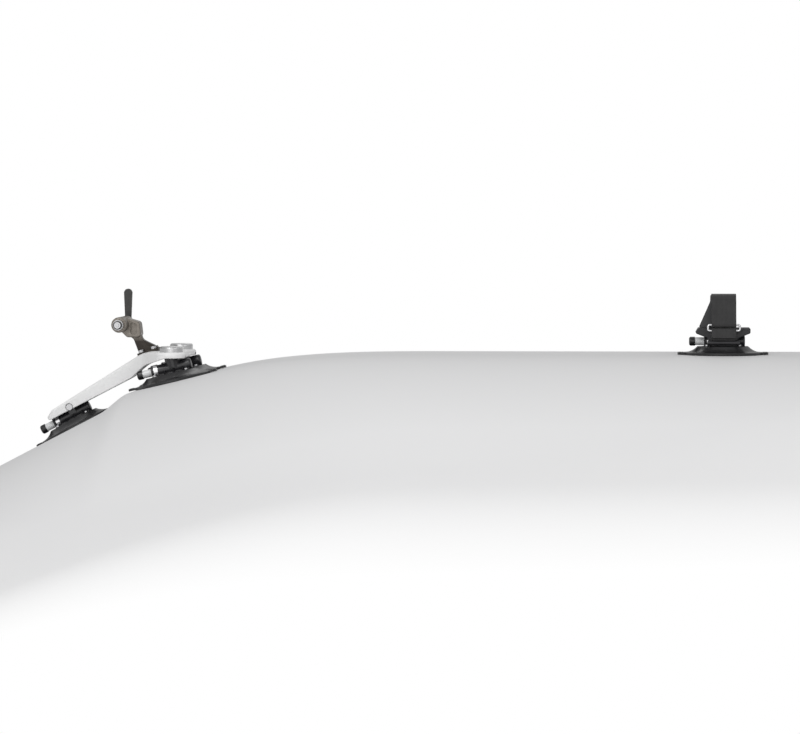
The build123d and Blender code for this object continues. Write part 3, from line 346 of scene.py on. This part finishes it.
def woven():
    """Charcoal webbing: raised warp ribs crossed by picks, half a pick apart from rib to rib."""
    finish = Finish("strap webbing")
    cloth_map = finish.add("ShaderNodeUVMap", uv_map="cloth").outputs[0]
    split = finish.add("ShaderNodeSeparateXYZ", {"Vector": cloth_map})
    rib_count = finish.calc("DIVIDE", split.outputs["X"], WARP_PITCH)
    shift = finish.calc("MULTIPLY", finish.calc("FLOOR", rib_count), 0.5)
    pick_count = finish.calc("ADD", finish.calc("DIVIDE", split.outputs["Y"], PICK_PITCH), shift)
    pick = finish.calc("ADD", finish.calc("MULTIPLY", finish.ridges(pick_count), 0.6), 0.4)
    yarn = finish.calc("MULTIPLY", finish.ridges(rib_count), pick)
    fuzz = finish.grain("fuzz")
    shade = finish.sum_of(yarn, 0.65, finish.grain("worn"), 0.5)
    colour = finish.tint(shade, *WEBBING_COLOURS, 0.15, 0.95)
    height = finish.sum_of(yarn, 0.85, fuzz, 0.15)
    finish.shader.inputs["Sheen Weight"].default_value = 0.25
    finish.shader.inputs["Sheen Roughness"].default_value = 0.4
    normal = finish.relief(height, WEAVE_DEPTH, 0.8)
    return finish.coat(colour, finish.spread(fuzz, 0.62, 0.82), normal)


FINISHES = {name: moulded(name, *values) for name, values in MOULDED.items()}
FINISHES.update({name: bare_metal(name, *values) for name, values in METALS.items()})
FINISHES.update({"bracket metal": bronze_casting(), "strap webbing": woven()})

# The finish of each node, by its name without the mount that it belongs to.
NODE_FINISHES = {
    "pad": "pad rubber",
    "hub": "hub plastic",
    "band": "band steel",
    "gland": "hub plastic",
    "ball_ring": "hub plastic",
    "plunger": "plunger plastic",
    "button": "button plastic",
    "seal": "seal rubber",
    "spring": "spring steel",
    "screws": "screw steel",
    "liner": "liner plastic",
    "frame": "frame plastic",
    "nose_pin": "screw steel",
    "ball_studs": "screw steel",
    "boss_caps": "cap metal",
    "fork_bracket": "bracket metal",
    "bracket_bolts": "screw steel",
    "skewer": "screw steel",
    "skewer_cup": "screw steel",
    "skewer_nut": "screw steel",
    "lever": "lever paint",
    "cradle": "cradle plastic",
    "cradle_bolts": "screw steel",
    "tyre_liner": "guard rubber",
    "strap_ring": "ring steel",
    "short_strap": "strap webbing",
    "long_strap": "strap webbing",
    "rim_guard": "guard rubber",
}


def finish_nodes():
    for node_name, node_object in nodes.items():
        first, _, rest = node_name.partition("_")
        kind = rest if first in MOUNTS else node_name
        for material_slot in node_object.material_slots:
            material_slot.material = FINISHES[NODE_FINISHES[kind]]


finish_nodes()


# Floor: a pale sheet that follows the slope below each pad and fades to white far off.

# Its heights along the carrier and well beside it: a place in X, the height and the slope there.
FLOOR_PROFILE = (
    (-6.0, -0.62, 0.0),
    (-1.75, -0.44, 0.2),
    (-1.0582, -0.14268, 0.5206),
    (-0.9518, -0.08732, 0.5206),
    (-0.9044, -0.05453, 0.24),
    (-0.7876, -0.02647, 0.24),
    (-0.69, -0.0095, 0.11),
    (-0.56, -0.0012, 0.025),
    (-0.42, 0.0, 0.0),
    (-0.08, 0.0, 0.0),
    (6.0, 0.0, 0.0),
)
FLOOR_SWEEP = ((-6.0, -0.62, 0.0), (-1.75, -0.44, 0.22), (-0.42, -0.004, 0.02), (6.0, 0.0, 0.0))
SWEEP_RUN = 0.5
FLOOR_REACH = 7.0
FLOOR_STEPS = 8
FLOOR_ROWS = 96
FLOOR_SMOOTH_ANGLE = 80.0
CREST_HALF = 0.13
CREST_FALL = 0.14
CREST_RUN = 0.75

# Its colour: painted shade along the carrier's crest, paling to either side, and a ring in which it
# fades to white.
CREST_SHADE_COLOUR = (0.71, 0.71, 0.715)
SIDE_COLOUR = (0.86, 0.86, 0.865)
CREST_SHADE_PALES = (0.05, 0.55)
FADE_MIDDLE_X = -0.5
FADE_RING = (0.75, 2.2)
FLOOR_ROUGHNESS = 0.55
FLOOR_SPECULAR = 0.2


def height_at(x, profile):
    """Height along X, smooth from one given point and slope to the next."""
    for (start_x, start_z, start_slope), (end_x, end_z, end_slope) in zip(profile, profile[1:]):
        if x <= end_x:
            break
    run = end_x - start_x
    share = (x - start_x) / run
    square, cube = share ** 2, share ** 3
    height = (2 * cube - 3 * square + 1) * start_z + (3 * square - 2 * cube) * end_z
    height += (cube - 2 * square + share) * run * start_slope
    return height + (cube - square) * run * end_slope


def eased(value, start, run):
    """0 at the start, 1 a run later, smooth between."""
    share = min(max((value - start) / run, 0.0), 1.0)
    return share ** 2 * (3 - 2 * share)


def floor_height(x, y):
    """The pads' slopes along the carrier, an even sweep beside it, and a fall to either side."""
    sweep = eased(abs(y), CREST_HALF, SWEEP_RUN)
    height = height_at(x, FLOOR_PROFILE) * (1 - sweep) + height_at(x, FLOOR_SWEEP) * sweep
    return height - CREST_FALL * eased(abs(y), CREST_HALF, CREST_RUN)


def floor_places():
    """Places along the floor: even steps between the profile's points."""
    places = [FLOOR_PROFILE[0][0]]
    for (start, *_), (end, *_) in zip(FLOOR_PROFILE, FLOOR_PROFILE[1:]):
        places += [start + (end - start) * (step + 1) / FLOOR_STEPS for step in range(FLOOR_STEPS)]
    return places


def floor_rows():
    """Places across the floor, close together near the carrier."""
    shares = [2 * row / FLOOR_ROWS - 1 for row in range(FLOOR_ROWS + 1)]
    return [FLOOR_REACH * share ** 3 for share in shares]


def floor_finish():
    finish = Finish("pale floor")
    side = finish.add("ShaderNodeSeparateXYZ", {"Vector": finish.place}).outputs["Y"]
    # Painted shade: the floor is darker along the carrier's line and paler to either side.
    across = finish.spread(finish.calc("ABSOLUTE", side), 0.0, 1.0, *CREST_SHADE_PALES)
    finish.coat(finish.blend(across, CREST_SHADE_COLOUR, SIDE_COLOUR), FLOOR_ROUGHNESS)
    finish.shader.inputs["Specular IOR Level"].default_value = FLOOR_SPECULAR
    shift = {"Vector": finish.place, "Location": (-FADE_MIDDLE_X, 0.0, 0.0)}
    away = finish.add("ShaderNodeMapping", shift).outputs[0]
    distance = finish.add("ShaderNodeVectorMath", {0: away}, operation="LENGTH").outputs["Value"]
    fade = finish.spread(distance, 0.0, 1.0, *FADE_RING)
    path = finish.add("ShaderNodeLightPath")
    seen = finish.calc("MAXIMUM", path.outputs["Is Camera Ray"], path.outputs["Is Glossy Ray"])
    white = finish.add("ShaderNodeEmission", {"Color": (1, 1, 1, 1), "Strength": 1.0})
    mix = finish.add("ShaderNodeMixShader", {0: finish.calc("MULTIPLY", fade, seen)})
    finish.tree.links.new(finish.shader.outputs[0], mix.inputs[1])
    finish.tree.links.new(white.outputs[0], mix.inputs[2])
    surface = finish.tree.nodes["Material Output"].inputs["Surface"]
    finish.tree.links.new(mix.outputs[0], surface)
    return finish.material


def lay_floor():
    bm = bmesh.new()
    row = [bm.verts.new((x, 0.0, 0.0)) for x in floor_places()]
    edges = [bm.edges.new(pair) for pair in zip(row, row[1:])]
    for index, y in enumerate(floor_rows()):
        if index > 0:
            row, edges = grow(bm, edges)
        for vertex in row:
            vertex.co = (vertex.co.x, y, floor_height(vertex.co.x, y))
    piece_from("floor", bm, floor_finish(), FLOOR_SMOOTH_ANGLE)


lay_floor()


# Straps, guard and tyre rubber. Their lines are the solids' own, in millimetres, as (y, z).

LONG_LINE = (
    (-20.29, 84.0), (-25.05, 61.0), (-31.45, 49.0), (-31.45, 44.15), (-25.75, 44.15),
    (-16.14, 93.45), (16.14, 93.45), (26.25, 43.0), (28.9, 15.1), (37.1, 15.1),
    (37.1, 26.0), (28.45, 42.0),
)
LONG_ROUNDS = (8.0, 3.5, 2.775, 2.775, 14.35, 14.35, 20.0, 4.025, 4.025, 6.0)
SHORT_LINE = (
    (-34.28, 27.98), (-31.45, 40.85), (-25.75, 40.85), (-28.9, 15.1), (-37.1, 15.1),
    (-34.28, 27.98),
)
SHORT_ROUNDS = (2.775, 2.775, 4.025, 4.025)
STRAP_X = 1.0 * MM
STRAP_WIDTH = 38.0 * MM
STRAP_THICKNESS = 1.9 * MM
STRAP_COLUMNS = 12
STRAP_SOFT = 0.45 * MM
LINE_STEP = 2.5 * MM
WELD = 0.02 * MM

GUARD_LINE = ((-21.0, 42.6), (-14.1, 91.1), (14.1, 91.1), (21.0, 42.6))
GUARD_ROUNDS = (12.0, 12.0)
GUARD_FRONT = -37.0 * MM
GUARD_REAR = 20.0 * MM
GUARD_TOP_FRONT = -19.5 * MM
GUARD_FOOT = 41.6 * MM
GUARD_SLANT_TOP = 82.0 * MM
GUARD_THICKNESS = 2.2 * MM
GUARD_COLUMNS = 16
GUARD_SOFT = 0.8 * MM
GUARD_SEGMENTS = 3

GROOVE_AXIS = 50.5 * MM
GROOVE_RADIUS = 14.5 * MM
GROOVE_TOP = 41.4 * MM
GROOVE_STEPS = 16
RUBBER = 2.2 * MM
RUBBER_ENDS = (-35.0 * MM, 39.0 * MM)
RUBBER_COLUMNS = 4
RUBBER_SOFT = 0.4 * MM
RIBS = 5
RIB_WIDTH = 5.0 * MM
RIB_SPACING = 13.0 * MM
RIB_HEIGHT = 0.8 * MM
RIB_COLUMNS = 2
RIB_SOFT = 0.3 * MM


def wheel_line(points, rounds):
    """A line of the wheel unit in metres, its corners rounded and its runs divided."""
    in_metres = [(y * MM, z * MM) for y, z in points]
    return even_steps(bent_line(in_metres, [radius * MM for radius in rounds]), LINE_STEP)


def make_webbing(name, node, points, rounds, closed=False):
    left = STRAP_X - STRAP_WIDTH / 2
    bm = strip(wheel_line(points, rounds), left, STRAP_WIDTH, STRAP_COLUMNS)
    if closed:
        bmesh.ops.remove_doubles(bm, verts=bm.verts, dist=WELD)
    piece = piece_from(name, bm, FINISHES["strap webbing"])
    webbing = thicken(piece, STRAP_THICKNESS, STRAP_SOFT)
    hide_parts(node)
    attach(webbing, "wheel_unit")


def make_guard():
    line = wheel_line(GUARD_LINE, GUARD_ROUNDS)
    bm = strip(line, GUARD_FRONT, GUARD_REAR - GUARD_FRONT, GUARD_COLUMNS)
    for vertex in bm.verts:
        rise = min(max((vertex.co.z - GUARD_FOOT) / (GUARD_SLANT_TOP - GUARD_FOOT), 0.0), 1.0)
        front = GUARD_FRONT + (GUARD_TOP_FRONT - GUARD_FRONT) * rise
        share = (vertex.co.x - GUARD_FRONT) / (GUARD_REAR - GUARD_FRONT)
        vertex.co.x = front + share * (GUARD_REAR - front)
    piece = piece_from("rim_pad", bm, FINISHES["guard rubber"])
    guard = thicken(piece, GUARD_THICKNESS, GUARD_SOFT, GUARD_SEGMENTS)
    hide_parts("rim_guard")
    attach(guard, "wheel_unit")


def groove_line(radius):
    """The part of a circle about the groove's axis that lies below the groove's top, as (y, z)."""
    reach = math.acos((GROOVE_AXIS - GROOVE_TOP) / radius)
    line = []
    for step in range(GROOVE_STEPS + 1):
        angle = reach * (2 * step / GROOVE_STEPS - 1)
        line.append(Vector((radius * math.sin(angle), GROOVE_AXIS - radius * math.cos(angle))))
    return line


def make_tyre_rubber():
    start, end = RUBBER_ENDS
    bm = strip(groove_line(GROOVE_RADIUS - RUBBER / 2), start, end - start, RUBBER_COLUMNS)
    sheet = thicken(
        piece_from("groove_rubber", bm, FINISHES["guard rubber"]), RUBBER, RUBBER_SOFT
    )
    ribs = bmesh.new()
    for rib in range(RIBS):
        middle = (start + end) / 2 + (rib - (RIBS - 1) / 2) * RIB_SPACING
        line = groove_line(GROOVE_RADIUS - RUBBER)
        one = strip(line, middle - RIB_WIDTH / 2, RIB_WIDTH, RIB_COLUMNS)
        mesh = bpy.data.meshes.new("rib")
        one.to_mesh(mesh)
        one.free()
        ribs.from_mesh(mesh)
    rib_piece = thicken(
        piece_from("groove_ribs", ribs, FINISHES["guard rubber"]), 2 * RIB_HEIGHT, RIB_SOFT
    )
    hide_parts("tyre_liner")
    for piece in (sheet, rib_piece):
        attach(piece, "wheel_unit")


make_webbing("webbing_over_rim", "long_strap", LONG_LINE, LONG_ROUNDS)
make_webbing("webbing_to_ring", "short_strap", SHORT_LINE, SHORT_ROUNDS, closed=True)
make_guard()
make_tyre_rubber()


# Seams of the straps: rows of stitches on a straight stretch of webbing.

STITCH_LENGTH = 2.3 * MM
STITCH_PITCH = 3.2 * MM
STITCH_WIDTH = 0.75 * MM
STITCH_RISE = 0.45 * MM
STITCH_SOFT = 0.3 * MM
STITCH_SMOOTH_ANGLE = 60.0

# Places on a stretch: shares of the webbing's width, and distances along it.
SEAM_SIDES = (0.06, 0.94)
FOLD_SEAMS = (3.0 * MM, 6.5 * MM)
LOOP_SEAMS = (9.0 * MM, 12.5 * MM)
PATCH_SIDES = (0.1, 0.9)
PATCH_ENDS = (2.5 * MM, 13.0 * MM)
PATCH_SEAMS = ((0, 1), (1, 2), (2, 3), (3, 0), (0, 2), (1, 3))


def one_stitch(bm, middle, along, outward):
    """A rounded grain of thread, half sunk in the webbing."""
    across = along.cross(outward)
    turn = Matrix((along, across, outward)).transposed().to_4x4()
    size = Matrix.Diagonal((STITCH_LENGTH, STITCH_WIDTH, 2 * STITCH_RISE, 1.0))
    spot = Matrix.Translation(middle) @ turn @ size
    made = bmesh.ops.create_cube(bm, size=1.0, matrix=spot)["verts"]
    edges = list({edge for vertex in made for edge in vertex.link_edges})
    bmesh.ops.bevel(
        bm, geom=edges, offset=STITCH_SOFT, segments=2, profile=0.5, affect="EDGES", material=-1
    )


def seam(bm, start, end, outward):
    """A row of stitches from one place to another on a face that looks outward."""
    run = end - start
    count = max(1, round(run.length / STITCH_PITCH))
    for index in range(count):
        one_stitch(bm, start + run * ((index + 0.5) / count), run.normalized(), outward)


def strap_face(line_start, line_end):
    """Gives places on a stretch by the share of its width and the distance, and its outward way."""
    start, end = (Vector((0.0, y * MM, z * MM)) for y, z in (line_start, line_end))
    along = (end - start).normalized()
    outward = Vector((1.0, 0.0, 0.0)).cross(along)

    def place(share, distance):
        point = start + along * distance + outward * STRAP_THICKNESS / 2
        return point + Vector((STRAP_X + (share - 0.5) * STRAP_WIDTH, 0.0, 0.0))

    return place, outward


def cross_seams(bm, line_start, line_end, distances):
    """Seams from side to side of a stretch."""
    place, outward = strap_face(line_start, line_end)
    left, right = SEAM_SIDES
    for distance in distances:
        seam(bm, place(left, distance), place(right, distance), outward)


def sewn_patch(bm, line_start, line_end):
    """A sewn square with its diagonals."""
    place, outward = strap_face(line_start, line_end)
    left, right = PATCH_SIDES
    near, far = PATCH_ENDS
    corners = (place(left, near), place(right, near), place(right, far), place(left, far))
    for first, second in PATCH_SEAMS:
        seam(bm, corners[first], corners[second], outward)


def sew_straps():
    bm = bmesh.new()
    cross_seams(bm, LONG_LINE[0], LONG_LINE[1], FOLD_SEAMS)
    sewn_patch(bm, LONG_LINE[-1], LONG_LINE[-2])
    cross_seams(bm, SHORT_LINE[-2], SHORT_LINE[1], LOOP_SEAMS)
    stitches = piece_from("strap_stitches", bm, FINISHES["sewing thread"], STITCH_SMOOTH_ANGLE)
    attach(stitches, "wheel_unit")


sew_straps()


# Small fasteners: domed socket heads on the mounts' screws, and the grip round the skewer's nut.

SCREW_CIRCLE = 28.0 * MM
SCREW_ANGLES = (28.0, 152.0, 208.0, 332.0)
SCREW_SEAT = 14.0 * MM
SOCKET_FLATS = 2.5 * MM
HEAD_RADIUS = 3.02 * MM
HEAD_SEGMENTS = 24
HEAD_SMOOTH_ANGLE = 30.0

# The grip: the inner end of its middle line, its sizes and its ribs.
GRIP_PLACE = Vector((-0.933037, -0.0605, 0.045851))
GRIP_LENGTH = 7.2 * MM
GRIP_CHAMFER = 0.3 * MM
GRIP_END_RADIUS = 5.95 * MM
GRIP_ROOT_RADIUS = 6.15 * MM
GRIP_RIB_HEIGHT = 0.55 * MM
GRIP_RIBS = 18
GRIP_SEGMENTS = 144
GRIP_SMOOTH_ANGLE = 50.0


def hexagon(angle):
    """The outline of a screw head's socket."""
    wedge = math.radians(60)
    return SOCKET_FLATS / 2 / math.cos(angle % wedge - wedge / 2)


def fluted(angle):
    """The grip's outline: rounded ribs with narrow grooves between them."""
    return GRIP_ROOT_RADIUS + GRIP_RIB_HEIGHT * math.sqrt(abs(math.sin(angle * GRIP_RIBS / 2)))


HEAD_STAGES = (
    (0.0, HEAD_RADIUS),
    (1.35 * MM, HEAD_RADIUS),
    (1.9 * MM, 2.8 * MM),
    (2.35 * MM, 2.35 * MM),
    (2.6 * MM, 1.75 * MM),
    (2.6 * MM, hexagon),
    (2.04 * MM, hexagon),
    (2.03 * MM, 0.01 * MM),
)
GRIP_STAGES = (
    (0.0, GRIP_END_RADIUS),
    (GRIP_CHAMFER, fluted),
    (GRIP_LENGTH - GRIP_CHAMFER, fluted),
    (GRIP_LENGTH, GRIP_END_RADIUS),
)


def make_screw_heads(name):
    body, place, slope = MOUNTS[name]
    bm = bmesh.new()
    for angle in SCREW_ANGLES:
        turn = math.radians(angle)
        spot = (SCREW_CIRCLE * math.cos(turn), SCREW_CIRCLE * math.sin(turn), SCREW_SEAT)
        bmesh.ops.translate(bm, verts=turn_profile(bm, HEAD_STAGES, HEAD_SEGMENTS), vec=spot)
    bm.transform(Matrix.Translation(place) @ Matrix.Rotation(-math.radians(slope), 4, "Y"))
    heads = piece_from(name + "_screw_heads", bm, FINISHES["screw steel"], HEAD_SMOOTH_ANGLE)
    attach(heads, body)


def make_nut_grip():
    bm = bmesh.new()
    turn_profile(bm, GRIP_STAGES, GRIP_SEGMENTS)
    bm.transform(Matrix.Translation(GRIP_PLACE) @ Matrix.Rotation(math.radians(90), 4, "X"))
    grip = piece_from("nut_grip", bm, FINISHES["lever paint"], GRIP_SMOOTH_ANGLE)
    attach(grip, "adjusting_nut")


for mount_name in MOUNTS:
    make_screw_heads(mount_name)
make_nut_grip()


# Camera, where the photographer stood but with a longer lens, and lamps.

EYE = Vector((-0.1425, -6.2, 0.225))
TARGET = Vector((-0.5, 0.0, -0.02))
LENS = 180.0
VIEW_END = 100.0

# Each lamp: its place, size and power. The white sky lights at a lower level than it shows.
LAMPS = {
    "key": ((-1.9, -2.6, 2.6), 1.6, 30.0),
    "side": ((1.6, -2.0, 1.6), 1.2, 9.0),
    "front": ((-0.9, -3.2, 0.75), 2.4, 19.0),
    "back": ((-0.4, 2.8, 2.4), 2.0, 13.0),
}
SKY_LIGHTS = 0.5
SKY_SHOWS = 1.0


def set_up(name, data, place):
    """Puts a camera or a lamp in its place, turned to the target."""
    stand = bpy.data.objects.new(name, data)
    stand.location = place
    stand.rotation_mode = "QUATERNION"
    stand.rotation_quaternion = (TARGET - Vector(place)).to_track_quat("-Z", "Y")
    bpy.context.scene.collection.objects.link(stand)
    return stand


def set_camera():
    camera_data = bpy.data.cameras.new("camera")
    camera_data.lens = LENS
    camera_data.clip_end = VIEW_END
    bpy.context.scene.camera = set_up("camera", camera_data, EYE)


def set_lamps():
    for name, (place, size, power) in LAMPS.items():
        lamp_data = bpy.data.lights.new(name, "AREA")
        lamp_data.size = size
        lamp_data.energy = power
        set_up(name, lamp_data, place)


def set_sky():
    world = bpy.data.worlds.new("studio")
    bpy.context.scene.world = world
    world.use_nodes = True
    tree = world.node_tree
    background = tree.nodes["Background"]
    background.inputs["Color"].default_value = (1, 1, 1, 1)
    path = tree.nodes.new("ShaderNodeLightPath")
    seen = tree.nodes.new("ShaderNodeMath")
    seen.operation = "MAXIMUM"
    tree.links.new(path.outputs["Is Camera Ray"], seen.inputs[0])
    tree.links.new(path.outputs["Is Transmission Ray"], seen.inputs[1])
    level = tree.nodes.new("ShaderNodeMapRange")
    level.inputs["To Min"].default_value = SKY_LIGHTS
    level.inputs["To Max"].default_value = SKY_SHOWS
    tree.links.new(seen.outputs[0], level.inputs["Value"])
    tree.links.new(level.outputs[0], background.inputs["Strength"])


set_camera()
set_sky()
set_lamps()
bpy.context.scene.view_settings.view_transform = "Standard"
